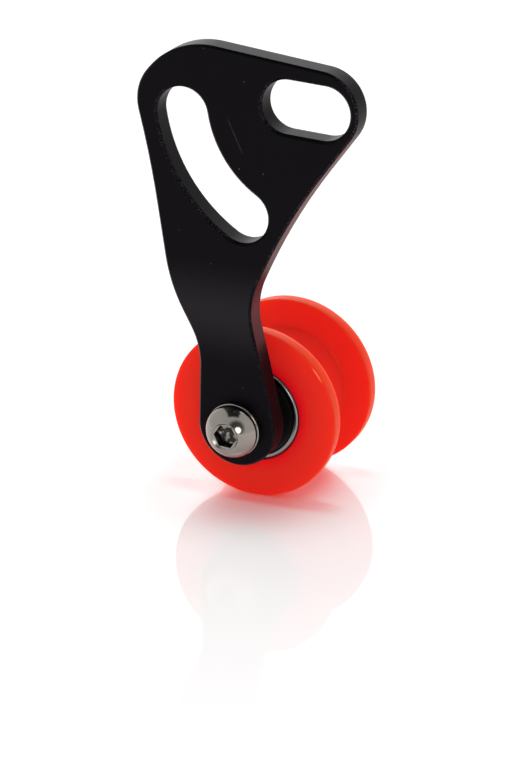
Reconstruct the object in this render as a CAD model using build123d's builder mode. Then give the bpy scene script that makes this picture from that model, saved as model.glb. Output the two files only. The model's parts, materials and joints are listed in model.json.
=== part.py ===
from build123d import *
import os
from math import radians, sqrt, tan

# Bicycle chain tensioner, in millimetres.
# The origin is the centre of the axle slot, on the arm's face that lies against the frame.
# +X runs to the right along the slot, +Y along the roller's axle from the arm to the nut, +Z up.

# Place of the roller's axle, measured from the axle slot's centre
roller_side = 14.0
roller_drop = 64.9

# Arm: plate and slots
plate_thickness = 5.0
plate_edge_chamfer = 0.45
slot_edge_chamfer = 0.55
axle_slot_width = 10.35
axle_slot_travel = 7.2
axle_slot_tilt = 3.1
hanger_slot_width = 10.35
hanger_slot_radius = 26.7
hanger_slot_side = 1.4
hanger_slot_rise = 0.5
hanger_slot_upper_angle = 188.8
hanger_slot_lower_angle = 238.1

# Arm: outline of the slotted head, with its walls measured from the slots
right_wall = 1.8
right_edge_lean = 36.2
top_wall = 2.9
top_slope = 6.2
corner_wall = 5.3
corner_slope = 49.6
left_wall = 3.7
left_edge_lean = 14.0

# Arm: outline of the neck and foot, with its heights measured from the roller's axle
foot_radius = 8.0
right_foot_lean = 13.4
left_foot_lean = 1.35
right_neck_height = 25.0
right_bend_height = 42.5
left_neck_height = 15.6
shoulder_height = 27.3
shoulder_side = 14.0
left_bend_height = 51.6

# Arm: radii that round the outline's corners
right_neck_radius = 15.0
right_flank_radius = 120.0
right_corner_radius = 7.9
top_corner_radius = 15.5
left_corner_radius = 9.0
left_flank_radius = 185.0
shoulder_radius = 32.0
left_neck_radius = 15.0

# Axle bolt with a button head and a hexagon socket
bolt_diameter = 6.0
bolt_hole_clearance = 0.2
bolt_end_showing = 1.6
bolt_end_chamfer = 0.6
head_radius = 5.25
head_land = 0.95
head_height = 3.8
head_dome_radius = 5.6
socket_across_flats = 4.2
socket_depth = 2.4
socket_countersink = 0.35
socket_point_angle = 118.0
socket_turn = -4.0

# Washers under the head and the nut
washer_radius = 5.4
washer_thickness = 1.6
washer_edge_chamfer = 0.15

# Flanged roller
roller_radius = 17.25
roller_width = 21.0
roller_gap = 3.0
flange_width = 2.8
flange_draft = 3.0
flange_edge_chamfer = 0.4
groove_floor_radius = 11.6
groove_root_chamfer = 0.5
web_bore_radius = 7.8
seat_mouth_chamfer = 0.25

# Ball bearings, one in each end of the roller
bearing_radius = 9.5
bearing_width = 6.0
bearing_proud = 0.2
bearing_seat_clearance = 0.01
ball_diameter = 3.175
ball_count = 7
raceway_clearance = 0.04
raceway_shoulder = 0.55
race_rim = 0.95
race_edge_chamfer = 0.25
cage_gap = 0.35
cage_pocket_clearance = 0.05
cage_mouth = 0.9
seal_depth = 0.25
seal_thickness = 0.6
seal_relief = 0.15
seal_bead = 0.6
seal_lip_step = 0.3
seal_running_gap = 0.06

# Spacers on the bolt
spacer_radius = 4.5
spacer_bore_clearance = 0.05

# Self-locking nut with a nylon ring
nut_across_flats = 10.0
nut_hex_height = 4.2
nut_height = 6.0
nut_corner_chamfer = 0.45
nut_collar_radius = 4.3
nut_collar_round = 0.6
nut_lip = 0.5
nut_turn = 12.0
insert_radius = 3.8
insert_height = 1.3
thread_clearance = 0.01

# Places along the axle, from the frame side of the arm
bolt_radius = bolt_diameter / 2
plate_front = -plate_thickness
head_seat = plate_front - washer_thickness
roller_front = roller_gap
roller_back = roller_front + roller_width
front_bearing_start = roller_front - bearing_proud
rear_bearing_start = roller_back + bearing_proud - bearing_width
rear_washer_start = rear_bearing_start + bearing_width
nut_start = rear_washer_start + washer_thickness
bolt_end = nut_start + nut_height + bolt_end_showing

# Sizes shared inside the bearings
race_bore = bolt_radius + bearing_seat_clearance
ball_radius = ball_diameter / 2
pitch_radius = (bolt_radius + bearing_radius) / 2
raceway_radius = ball_radius + raceway_clearance
inner_shoulder = pitch_radius - ball_radius + raceway_shoulder
outer_shoulder = pitch_radius + ball_radius - raceway_shoulder
seal_land = inner_shoulder - seal_lip_step
seal_recess = bearing_radius - race_rim
seal_inside = bearing_width / 2 - seal_depth - seal_thickness

# The axle, and the plane through it in which turned pieces are drawn: radius along X, length along Y
axle = Vector(-roller_side, 0, -roller_drop)
axle_line = Axis(axle, (0, 1, 0))
turning_plane = Plane(axle)

os.makedirs("parts", exist_ok=True)


def plane_across_axle(place, towards_head=False):
    """A plane square to the axle at this place, facing the nut or the bolt's head."""
    facing = (0, -1, 0) if towards_head else (0, 1, 0)
    return Plane(axle + Vector(0, place, 0), x_dir=(1, 0, 0), z_dir=facing)


def hexagon_corner(across_flats):
    """The distance from a hexagon's centre to its corners."""
    return across_flats / sqrt(3)


def heading(angle):
    """The direction at this angle from the plate's X, counted anticlockwise."""
    return Vector(1, 0).rotate(Axis.Z, angle)


def beside(centre, angle, distance):
    """A point this far to the right of a line that runs through centre at this angle."""
    return centre + heading(angle - 90) * distance


def at_height(start, angle, height):
    """Where the line through start at this angle reaches a height."""
    return start + heading(angle) * ((height - start.Y) / heading(angle).Y)


def crossing(start, angle, other_start, other_angle):
    """Where two lines cross, each given by a point and an angle."""
    along = heading(angle)
    other = heading(other_angle)
    return start + along * ((other_start - start).cross(other).Z / along.cross(other).Z)


def radii_that_fit(points, radii, spare=0.02):
    """The corners' radii, each reduced only where two arcs would share more than the run between them."""
    runs = [(end - start).length for start, end in zip(points, points[1:])]
    turns = [
        (corner - before).get_angle(after - corner)
        for before, corner, after in zip(points, points[1:], points[2:])
    ]
    reach = [radius * tan(radians(turn / 2)) for radius, turn in zip(radii, turns)]
    needed = [first + second for first, second in zip([0, *reach], [*reach, 0])]
    room = [min(1, (1 - spare) * run / need) for run, need in zip(runs, needed)]
    return [radius * min(pair) for radius, pair in zip(radii, zip(room, room[1:]))]


# Mounting plate: the outline runs anticlockwise from the right of the foot to the left of the foot
foot = Vector(-roller_side, -roller_drop)
axle_slot_end = heading(-axle_slot_tilt) * (axle_slot_travel / 2)
hanger_slot_centre = Vector(hanger_slot_side, hanger_slot_rise)
hanger_slot_top = hanger_slot_centre + heading(hanger_slot_upper_angle) * hanger_slot_radius

right_foot_angle = 90 + right_foot_lean
right_edge_angle = 90 - right_edge_lean
top_angle = 180 - top_slope
corner_angle = 180 + corner_slope
left_edge_angle = 270 + left_edge_lean
left_foot_angle = 270 - left_foot_lean

foot_right = beside(foot, right_foot_angle, foot_radius)
right_edge = beside(axle_slot_end, right_edge_angle, axle_slot_width / 2 + right_wall)
top_edge = beside(Vector(0, 0), top_angle, axle_slot_width / 2 + top_wall)
corner_edge = beside(hanger_slot_top, corner_angle, hanger_slot_width / 2 + corner_wall)
left_edge = beside(hanger_slot_top, left_edge_angle, hanger_slot_width / 2 + left_wall)
foot_left = beside(foot, left_foot_angle, foot_radius)

outline = [
    foot_right,
    at_height(foot_right, right_foot_angle, foot.Y + right_neck_height),
    at_height(right_edge, right_edge_angle, foot.Y + right_bend_height),
    crossing(right_edge, right_edge_angle, top_edge, top_angle),
    crossing(top_edge, top_angle, corner_edge, corner_angle),
    crossing(corner_edge, corner_angle, left_edge, left_edge_angle),
    at_height(left_edge, left_edge_angle, foot.Y + left_bend_height),
    foot + Vector(-shoulder_side, shoulder_height),
    at_height(foot_left, left_foot_angle, foot.Y + left_neck_height),
    foot_left,
]
outline_radii = [
    right_neck_radius,
    right_flank_radius,
    right_corner_radius,
    top_corner_radius,
    left_corner_radius,
    left_flank_radius,
    shoulder_radius,
    left_neck_radius,
]
hanger_path = CenterArc(
    hanger_slot_centre,
    hanger_slot_radius,
    hanger_slot_upper_angle,
    hanger_slot_lower_angle - hanger_slot_upper_angle,
)
bolt_hole_radius = bolt_radius + bolt_hole_clearance

with BuildPart() as mounting_plate:
    with BuildSketch(Plane.XZ):
        with BuildLine():
            edge = FilletPolyline(*outline, radius=radii_that_fit(outline, outline_radii))
            ThreePointArc(edge @ 1, foot - Vector(0, foot_radius), edge @ 0)
        make_face()
        SlotCenterToCenter(
            axle_slot_travel, axle_slot_width, rotation=-axle_slot_tilt, mode=Mode.SUBTRACT
        )
        SlotArc(hanger_path, hanger_slot_width, mode=Mode.SUBTRACT)
        with Locations(foot):
            Circle(bolt_hole_radius, mode=Mode.SUBTRACT)
    extrude(amount=plate_thickness)
    broad_faces = mounting_plate.faces().filter_by(Axis.Y).sort_by(Axis.Y)
    outline_edges = [e for face in broad_faces for e in face.outer_wire().edges()]
    slot_wires = [w for face in broad_faces for w in face.inner_wires() if len(w.edges()) > 1]
    chamfer(outline_edges, plate_edge_chamfer)
    chamfer([e for wire in slot_wires for e in wire.edges()], slot_edge_chamfer)

mounting_plate.part.label = "mounting_plate"
export_step(mounting_plate.part, "parts/mounting_plate.step")

# Axle bolt: a domed head on a round land, a shank, and a drilled and countersunk hexagon socket
head_top = head_seat - head_height
dome_centre = head_seat - head_land + sqrt(head_dome_radius**2 - head_radius**2)
dome_top_radius = sqrt(head_dome_radius**2 - (dome_centre - head_top) ** 2)
socket_drill_radius = socket_across_flats / 2
socket_corner_radius = hexagon_corner(socket_across_flats)
socket_bottom = head_top + socket_depth
socket_point = socket_drill_radius / tan(radians(socket_point_angle / 2))

with BuildPart() as axle_bolt:
    with BuildSketch(turning_plane):
        with BuildLine():
            Polyline(
                (0, head_top),
                (0, bolt_end),
                (bolt_radius - bolt_end_chamfer, bolt_end),
                (bolt_radius, bolt_end - bolt_end_chamfer),
                (bolt_radius, head_seat),
                (head_radius, head_seat),
                (head_radius, head_seat - head_land),
            )
            RadiusArc((head_radius, head_seat - head_land), (dome_top_radius, head_top), head_dome_radius)
            Line((dome_top_radius, head_top), (0, head_top))
        make_face()
    revolve(axis=axle_line)
    with BuildSketch(plane_across_axle(head_top, towards_head=True)):
        RegularPolygon(socket_drill_radius, 6, major_radius=False, rotation=socket_turn)
    extrude(amount=-socket_depth, mode=Mode.SUBTRACT)
    with BuildSketch(turning_plane):
        with BuildLine():
            Polyline(
                (0, head_top),
                (socket_corner_radius + socket_countersink, head_top),
                (socket_corner_radius, head_top + socket_countersink),
                (socket_drill_radius, head_top + socket_countersink),
                (socket_drill_radius, socket_bottom),
                (0, socket_bottom + socket_point),
                close=True,
            )
        make_face()
    revolve(axis=axle_line, mode=Mode.SUBTRACT)

axle_bolt.part.label = "axle_bolt"
export_step(axle_bolt.part, "parts/axle_bolt.step")

# Washers: the same ring under the bolt's head and under the nut
for name, washer_start in (("head_washer", head_seat), ("rear_washer", rear_washer_start)):
    with BuildPart() as washer:
        with BuildSketch(plane_across_axle(washer_start)):
            Circle(washer_radius)
            Circle(bolt_hole_radius, mode=Mode.SUBTRACT)
        extrude(amount=washer_thickness)
        rings = washer.edges().filter_by(GeomType.CIRCLE)
        chamfer(rings.group_by(SortBy.RADIUS)[-1], washer_edge_chamfer)

    washer.part.label = name
    export_step(washer.part, f"parts/{name}.step")

# Spacers: one between the arm and the front bearing, one between the two bearings' inner races
spacers = (
    ("front_spacer", 0, front_bearing_start),
    ("centre_spacer", front_bearing_start + bearing_width, rear_bearing_start),
)
for name, spacer_start, spacer_end in spacers:
    with BuildPart() as spacer:
        with BuildSketch(plane_across_axle(spacer_start)):
            Circle(spacer_radius)
            Circle(bolt_radius + spacer_bore_clearance, mode=Mode.SUBTRACT)
        extrude(amount=spacer_end - spacer_start)

    spacer.part.label = name
    export_step(spacer.part, f"parts/{name}.step")

# Chain roller: two flanges with a draft beside a wide groove, and a bearing seat in each end
seat_radius = bearing_radius + bearing_seat_clearance
front_seat_end = front_bearing_start + bearing_width
flange_root = flange_width + (roller_radius - groove_floor_radius) * tan(radians(flange_draft))

with BuildPart() as chain_roller:
    with BuildSketch(turning_plane):
        with BuildLine():
            Polyline(
                (web_bore_radius, front_seat_end),
                (seat_radius, front_seat_end),
                (seat_radius, roller_front),
                (roller_radius, roller_front),
                (roller_radius, roller_front + flange_width),
                (groove_floor_radius, roller_front + flange_root),
                (groove_floor_radius, roller_back - flange_root),
                (roller_radius, roller_back - flange_width),
                (roller_radius, roller_back),
                (seat_radius, roller_back),
                (seat_radius, rear_bearing_start),
                (web_bore_radius, rear_bearing_start),
                close=True,
            )
        make_face()
    revolve(axis=axle_line)
    rings = chain_roller.edges().filter_by(GeomType.CIRCLE).group_by(SortBy.RADIUS)
    rim_edges = rings[-1]
    root_edges = rings[-2]
    seat_edges = rings[-3].sort_by(Axis.Y)
    chamfer(rim_edges, flange_edge_chamfer)
    chamfer(root_edges, groove_root_chamfer)
    chamfer([seat_edges[0], seat_edges[-1]], seat_mouth_chamfer)

chain_roller.part.label = "chain_roller"
export_step(chain_roller.part, "parts/chain_roller.step")

# Ball bearings: two grooved races, a ring of balls in a snap-in cage, and a seal on each side
inner_groove_half = sqrt(raceway_radius**2 - (pitch_radius - inner_shoulder) ** 2)
outer_groove_half = sqrt(raceway_radius**2 - (outer_shoulder - pitch_radius) ** 2)
half_width = bearing_width / 2
lip_step = seal_inside - seal_running_gap

for side, bearing_start in (("front", front_bearing_start), ("rear", rear_bearing_start)):
    middle = bearing_start + half_width

    with BuildPart() as outer_race:
        with BuildSketch(turning_plane):
            with BuildLine():
                Polyline(
                    (outer_shoulder, middle + outer_groove_half),
                    (outer_shoulder, middle + seal_inside),
                    (seal_recess, middle + seal_inside),
                    (seal_recess, middle + half_width),
                    (bearing_radius, middle + half_width),
                    (bearing_radius, middle - half_width),
                    (seal_recess, middle - half_width),
                    (seal_recess, middle - seal_inside),
                    (outer_shoulder, middle - seal_inside),
                    (outer_shoulder, middle - outer_groove_half),
                )
                ThreePointArc(
                    (outer_shoulder, middle - outer_groove_half),
                    (pitch_radius + raceway_radius, middle),
                    (outer_shoulder, middle + outer_groove_half),
                )
            make_face()
        revolve(axis=axle_line)
        rings = outer_race.edges().filter_by(GeomType.CIRCLE)
        chamfer(rings.group_by(SortBy.RADIUS)[-1], race_edge_chamfer)

    outer_race.part.label = f"{side}_outer_race"
    export_step(outer_race.part, f"parts/{side}_outer_race.step")

    with BuildPart() as inner_race:
        with BuildSketch(turning_plane):
            with BuildLine():
                Polyline(
                    (inner_shoulder, middle - inner_groove_half),
                    (inner_shoulder, middle - lip_step),
                    (seal_land, middle - lip_step),
                    (seal_land, middle - half_width),
                    (race_bore, middle - half_width),
                    (race_bore, middle + half_width),
                    (seal_land, middle + half_width),
                    (seal_land, middle + lip_step),
                    (inner_shoulder, middle + lip_step),
                    (inner_shoulder, middle + inner_groove_half),
                )
                ThreePointArc(
                    (inner_shoulder, middle + inner_groove_half),
                    (pitch_radius - raceway_radius, middle),
                    (inner_shoulder, middle - inner_groove_half),
                )
            make_face()
        revolve(axis=axle_line)

    inner_race.part.label = f"{side}_inner_race"
    export_step(inner_race.part, f"parts/{side}_inner_race.step")

    with BuildPart(plane_across_axle(middle)) as balls:
        with PolarLocations(pitch_radius, ball_count):
            Sphere(ball_radius)

    balls.part.label = f"{side}_balls"
    export_step(balls.part, f"parts/{side}_balls.step")

    cage_back = seal_inside - cage_gap / 2
    with BuildPart(plane_across_axle(middle)) as cage:
        with BuildSketch(plane_across_axle(middle - cage_back)):
            Circle(outer_shoulder - cage_gap)
            Circle(inner_shoulder + cage_gap, mode=Mode.SUBTRACT)
        extrude(amount=cage_back + cage_mouth)
        with PolarLocations(pitch_radius, ball_count):
            Cylinder(
                ball_radius + cage_pocket_clearance,
                outer_shoulder - inner_shoulder,
                rotation=(0, 90, 0),
                mode=Mode.SUBTRACT,
            )

    cage.part.label = f"{side}_cage"
    export_step(cage.part, f"parts/{side}_cage.step")

    for place, outwards in (("near", -1), ("far", 1)):
        seal_face = middle + outwards * (half_width - seal_depth)
        seal_back = middle + outwards * seal_inside
        seal_hollow = seal_face - outwards * seal_relief
        seal_lip = seal_land + seal_running_gap
        seal_rim = seal_recess - bearing_seat_clearance
        with BuildPart() as seal:
            with BuildSketch(turning_plane):
                with BuildLine():
                    Polyline(
                        (seal_lip, seal_back),
                        (seal_rim, seal_back),
                        (seal_rim, seal_face),
                        (seal_rim - seal_bead, seal_face),
                        (seal_rim - seal_bead - seal_relief, seal_hollow),
                        (seal_lip + seal_bead + seal_relief, seal_hollow),
                        (seal_lip + seal_bead, seal_face),
                        (seal_lip, seal_face),
                        close=True,
                    )
                make_face()
            revolve(axis=axle_line)

        seal.part.label = f"{side}_{place}_seal"
        export_step(seal.part, f"parts/{side}_{place}_seal.step")

# Self-locking nut: a hexagon with turned-off corners and a collar rolled over the nylon ring
nut_end = nut_start + nut_height
hex_end = nut_start + nut_hex_height
insert_end = nut_end - nut_lip
insert_start = insert_end - insert_height
nut_flat_radius = nut_across_flats / 2
nut_corner_radius = hexagon_corner(nut_across_flats)
thread_radius = bolt_radius + thread_clearance

with BuildPart() as lock_nut:
    with BuildSketch(plane_across_axle(nut_start)):
        RegularPolygon(nut_flat_radius, 6, major_radius=False, rotation=nut_turn)
    extrude(amount=nut_hex_height)
    with BuildSketch(turning_plane):
        with BuildLine():
            Polyline(
                (0, nut_start),
                (nut_flat_radius, nut_start),
                (nut_corner_radius, nut_start + nut_corner_chamfer),
                (nut_corner_radius, hex_end - nut_corner_chamfer),
                (nut_flat_radius, hex_end),
                (0, hex_end),
                close=True,
            )
        make_face()
    revolve(axis=axle_line, mode=Mode.INTERSECT)
    with BuildSketch(plane_across_axle(hex_end)):
        Circle(nut_collar_radius)
    extrude(amount=nut_end - hex_end)
    fillet(lock_nut.faces().sort_by(Axis.Y)[-1].edges(), nut_collar_round)
    with BuildSketch(turning_plane):
        with BuildLine():
            Polyline(
                (0, nut_start),
                (thread_radius, nut_start),
                (thread_radius, insert_start),
                (insert_radius, insert_start),
                (insert_radius, insert_end),
                (insert_radius - nut_lip, nut_end),
                (0, nut_end),
                close=True,
            )
        make_face()
    revolve(axis=axle_line, mode=Mode.SUBTRACT)

lock_nut.part.label = "lock_nut"
export_step(lock_nut.part, "parts/lock_nut.step")

with BuildPart() as nut_insert:
    with BuildSketch(plane_across_axle(insert_start)):
        Circle(insert_radius)
        Circle(thread_radius, mode=Mode.SUBTRACT)
    extrude(amount=insert_height)

nut_insert.part.label = "nut_insert"
export_step(nut_insert.part, "parts/nut_insert.step")
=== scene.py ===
import json
from math import asin, cos, degrees, pi, radians, sin, sqrt, tan
from typing import NamedTuple

import bmesh
import bpy
from bpy.props import FloatProperty, FloatVectorProperty, IntProperty, PointerProperty
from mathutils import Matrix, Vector

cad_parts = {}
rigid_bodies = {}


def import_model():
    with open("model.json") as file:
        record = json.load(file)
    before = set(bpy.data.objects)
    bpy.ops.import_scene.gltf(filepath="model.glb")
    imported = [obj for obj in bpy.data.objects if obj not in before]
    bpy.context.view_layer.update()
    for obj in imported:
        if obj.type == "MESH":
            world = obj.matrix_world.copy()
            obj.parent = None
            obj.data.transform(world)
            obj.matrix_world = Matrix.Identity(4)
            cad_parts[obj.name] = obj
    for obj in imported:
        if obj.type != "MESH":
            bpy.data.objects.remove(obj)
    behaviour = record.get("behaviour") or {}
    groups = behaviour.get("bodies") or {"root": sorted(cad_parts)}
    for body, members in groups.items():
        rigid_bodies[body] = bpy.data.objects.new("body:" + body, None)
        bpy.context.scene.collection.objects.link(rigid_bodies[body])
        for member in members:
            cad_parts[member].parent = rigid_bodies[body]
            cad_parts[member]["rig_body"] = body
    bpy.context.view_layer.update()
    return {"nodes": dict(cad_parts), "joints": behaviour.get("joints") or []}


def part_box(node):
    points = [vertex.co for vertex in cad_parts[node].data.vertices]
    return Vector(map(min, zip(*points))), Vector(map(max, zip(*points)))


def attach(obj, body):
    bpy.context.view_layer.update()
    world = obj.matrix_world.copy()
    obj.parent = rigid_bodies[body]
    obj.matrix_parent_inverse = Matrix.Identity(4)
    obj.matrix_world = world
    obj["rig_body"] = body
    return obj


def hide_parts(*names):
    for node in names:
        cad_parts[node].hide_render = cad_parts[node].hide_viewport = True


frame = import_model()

bl_info = {
    "name": "Chain Tensioner Looks",
    "version": (1, 0, 0),
    "blender": (4, 5, 0),
    "location": "3D View > Sidebar > Tensioner",
    "description": "Models and finishes a bicycle chain tensioner around its packed construction",
    "category": "Object",
}

MM = 0.001
JOINTS = {joint["name"]: joint for joint in frame["joints"]}
AXLE = Vector(JOINTS["roller_spin"]["pos_m"])
BLACK = (0.0, 0.0, 0.0)
WHITE = (1.0, 1.0, 1.0)

# How close points are welded, how level faces are joined, and which edges are eased or stay sharp
WELD = 0.0005 * MM
LEVEL_FACES = radians(0.5)
EASED_EDGES = radians(25)
SHARP_WHEN_EASED = radians(28)
SHARP_WHEN_TURNED = radians(30)


# Settings that a user would change


def length(name, description, millimetres):
    """A size, given in millimetres and kept in metres."""
    return FloatProperty(
        name=name, description=description, default=millimetres * MM, unit="LENGTH", precision=5
    )


def turn(name, description, angle):
    """An angle, given in degrees and kept in radians."""
    return FloatProperty(
        name=name, description=description, default=radians(angle), subtype="ANGLE", unit="ROTATION"
    )


def colour(name, description, rgb):
    """A linear colour."""
    return FloatVectorProperty(
        name=name, description=description, default=rgb, size=3, min=0.0, max=1.0, subtype="COLOR"
    )


def share(name, description, value):
    """A number from nought to one."""
    return FloatProperty(
        name=name, description=description, default=value, min=0.0, max=1.0, subtype="FACTOR"
    )


def level(name, description, value):
    """A brightness or other plain number that isn't negative."""
    return FloatProperty(name=name, description=description, default=value, min=0.0)


def count(name, description, value):
    """A whole number of steps."""
    return IntProperty(name=name, description=description, default=value, min=3)


class ArmSettings(bpy.types.PropertyGroup):
    """Finish of the flat slotted arm."""

    face_colour: colour("Face colour", "Black anodising of the broad faces", (0.0034, 0.0026, 0.0038))
    # Painted sheen: a paler black across the neck, a highlight painted into the colour
    painted_sheen_colour: colour("Sheen colour", "Paler black of the brushed neck", (0.021, 0.0175, 0.0205))
    edge_colour: colour("Chamfer colour", "Black of the cut chamfers", (0.0016, 0.0012, 0.0018))
    # Flecks of torn anodising that, set only on chamfers facing right and fewer low down, also paint a
    # highlight there
    lit_fleck_colour: colour("Fleck colour", "Purple-grey flecks on the torn chamfers", (0.045, 0.038, 0.05))
    speck_colour: colour("Speck colour", "Dust specks and the light scratch", (0.07, 0.07, 0.072))
    grain_size: length("Grain", "Size of the blasted grain under the anodising", 0.14)
    edge_round: length("Edge round", "How far the sharp edges are eased", 0.09)
    roughness: share("Roughness", "Roughness of the broad faces", 0.36)
    reflection: share("Reflection", "Specular level of the anodised skin", 0.05)


class RollerSettings(bpy.types.PropertyGroup):
    """Shape and finish of the flanged roller."""

    flange_width: length("Flange width", "Width of each flange at its rim", 2.8)
    flange_draft: turn("Flange draft", "Lean of the flanges' inner sides", 3.0)
    groove_floor_radius: length("Groove floor radius", "Radius of the chain's groove", 11.6)
    web_bore_radius: length("Web bore radius", "Bore between the two bearing seats", 7.8)
    seat_clearance: length("Seat clearance", "Room between a bearing and its seat", 0.01)
    rim_round: length("Rim round", "Rounding of the flanges' rims", 0.3)
    root_round: length("Root round", "Rounding where the flanges meet the groove", 0.6)
    mouth_round: length("Mouth round", "Rounding of the bearing seats' mouths", 0.22)
    round_steps: count("Round steps", "Edges in each rounding", 6)
    turn_steps: count("Turn steps", "Edges round the roller", 180)
    colour: colour("Colour", "Red of the plastic", (0.55, 0.016, 0.010))
    deep_colour: colour("Deep colour", "Darker red of its cloudy patches", (0.52, 0.010, 0.010))
    # Painted light: the rims are oranger and less red, for how they catch light and let it through their
    # thin edges
    painted_rim_glow_colour: colour("Rim colour", "Orange of the flanges' rims", (0.46, 0.025, 0.007))
    # Painted shade: a dark line in the crease round each bearing, where the glow is also left out
    crease_shade_colour: colour("Crease colour", "Grease round the bearings", (0.12, 0.004, 0.002))
    # Painted glint: a short pale line on the near rim's edge, where the rim catches a light
    painted_glint_colour: colour("Scuff colour", "Paler red of the scuff on the near rim", (0.75, 0.26, 0.17))
    # Painted glow: the near face is a deeper, more saturated red by its bearing, for how light glows in
    # the plastic there
    painted_hub_glow_colour: colour("Hub colour", "Crimson of the near face by its bearing", (0.60, 0.003, 0.009))
    glow_depth: length("Glow depth", "How far light wanders inside the plastic", 8.0)
    # Painted glow: red light that the plastic gives off, so that it hardly darkens in the shade
    glow: level("Glow", "Red light that the fluorescent plastic gives off", 0.5)


class BoltSettings(bpy.types.PropertyGroup):
    """Shape and finish of the axle bolt."""

    diameter: length("Diameter", "Thread diameter", 6.0)
    head_land: length("Head land", "Height of the straight side of the head", 0.95)
    dome_radius: length("Dome radius", "Radius of the domed head", 5.6)
    socket_across_flats: length("Socket", "Size of the hexagon socket across its flats", 4.2)
    socket_depth: length("Socket depth", "Depth of the hexagon socket", 2.4)
    socket_countersink: length("Countersink", "Width of the socket's countersunk mouth", 0.35)
    socket_point: turn("Socket point", "Angle of the drilled point at the bottom of the socket", 118.0)
    socket_turn: turn("Socket turn", "Turn of the hexagon about the axle", -4.0)
    thread_pitch: length("Thread pitch", "Rise of the thread in one turn", 1.0)
    thread_depth: length("Thread depth", "Height of the thread's ridge", 0.58)
    thread_turns: count("Thread turns", "Turns of thread on the shank", 14)
    thread_steps: count("Thread steps", "Edges in one turn of thread", 64)
    end_chamfer: length("End chamfer", "Chamfer at the end of the shank", 0.5)
    edge_round: length("Edge round", "How far the sharp edges are eased", 0.07)
    dome_steps: count("Dome steps", "Edges along the dome", 20)
    turn_steps: count("Turn steps", "Edges round the bolt", 144)
    steel_colour: colour("Steel colour", "Colour of the polished steel", (0.335, 0.306, 0.278))


class BearingSettings(bpy.types.PropertyGroup):
    """Finish of the two ball bearings."""

    steel_colour: colour("Steel colour", "Ground bearing steel", (0.27, 0.27, 0.27))
    rubber_colour: colour("Rubber colour", "Moulded rubber of the seals", (0.0022, 0.0022, 0.0024))
    cage_colour: colour("Cage colour", "Natural nylon of the ball cages", (0.70, 0.64, 0.50))
    edge_round: length("Edge round", "How far the sharp edges are eased", 0.06)
    # Inside this bright ring the face of an outer race gets painted shade
    face_width: length("Face width", "Width of the bright ring on the face of an outer race", 0.7)


class FastenerSettings(bpy.types.PropertyGroup):
    """Finish of the washers, spacers and nut."""

    zinc_colour: colour("Zinc colour", "Bright zinc on the nut and its washer", (0.62, 0.635, 0.65))
    aluminium_colour: colour("Aluminium colour", "Turned spacers", (0.74, 0.745, 0.75))
    nylon_colour: colour("Nylon colour", "Locking ring in the nut", (0.78, 0.80, 0.82))
    edge_round: length("Edge round", "How far the sharp edges are eased", 0.05)


class StageSettings(bpy.types.PropertyGroup):
    """Camera, lights and floor."""

    azimuth: turn("Azimuth", "Turn of the camera from straight ahead", 23.90)
    elevation: turn("Elevation", "Height of the camera above level", 21.84)
    distance: length("Distance", "From the camera to its target", 580.06)
    target: FloatVectorProperty(
        name="Target",
        description="Point at the middle of the picture",
        default=(-11.576 * MM, 3.0 * MM, -58.427 * MM),
        subtype="TRANSLATION",
    )
    lens: FloatProperty(name="Lens", description="Focal length in millimetres", default=140.6, min=1.0)
    floor_size: length("Floor size", "Side of the square floor", 6000.0)
    floor_colour: colour("Floor colour", "White of the glossy floor", (0.94, 0.94, 0.94))
    floor_glow: level("Floor glow", "Light that comes up through the floor around the piece", 0.3)
    glow_start: length("Glow start", "How far from the roller the floor begins to glow", 4.0)
    glow_full: length("Glow full", "How far from the roller the floor glows in full", 30.0)
    room_light: level("Room light", "Brightness of the white room", 0.75)
    wall_light: level("Wall light", "Added brightness of the walls to the left and right", 0.1)
    window_light: level("Window light", "Added brightness of the room behind the piece", 1.3)
    ceiling_shade: share("Ceiling shade", "How much darker the ceiling is than the walls", 0.95)
    camera_shade: share("Camera shade", "How much darker the room is behind the camera", 0.88)
    key_light: level("Key light", "Brightness of the small softbox beside the camera", 5.0)
    back_light: level("Back light", "Brightness of the wide softbox behind the piece", 0.95)
    floor_light: level("Floor light", "Brightness of the long lamps overhead, for the floor", 36.0)
    bounce_light: level("Bounce light", "Brightness of the red that the roller throws on the arm", 3.6)


# Shader building: one class for a socket, one for a tree of nodes


class Value:
    """A node's output. Python's operators on it add Math nodes."""

    def __init__(self, tree, socket):
        self.tree = tree
        self.socket = socket

    def __add__(self, other):
        return self.tree.maths("ADD", self, other)

    __radd__ = __add__

    def __mul__(self, other):
        return self.tree.maths("MULTIPLY", self, other)

    __rmul__ = __mul__

    def __sub__(self, other):
        return self.tree.maths("SUBTRACT", self, other)

    def __rsub__(self, other):
        return self.tree.maths("SUBTRACT", other, self)

    def __truediv__(self, other):
        return self.tree.maths("DIVIDE", self, other)

    def __rtruediv__(self, other):
        return self.tree.maths("DIVIDE", other, self)

    def __pow__(self, other):
        return self.tree.maths("POWER", self, other)

    def __gt__(self, other):
        return self.tree.maths("GREATER_THAN", self, other)

    def __lt__(self, other):
        return self.tree.maths("LESS_THAN", self, other)

    def __abs__(self):
        return self.tree.maths("ABSOLUTE", self)

    def swing(self, amount):
        """A noise's rise and fall about its middle, this much from end to end."""
        return (self - 0.5) * amount


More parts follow.
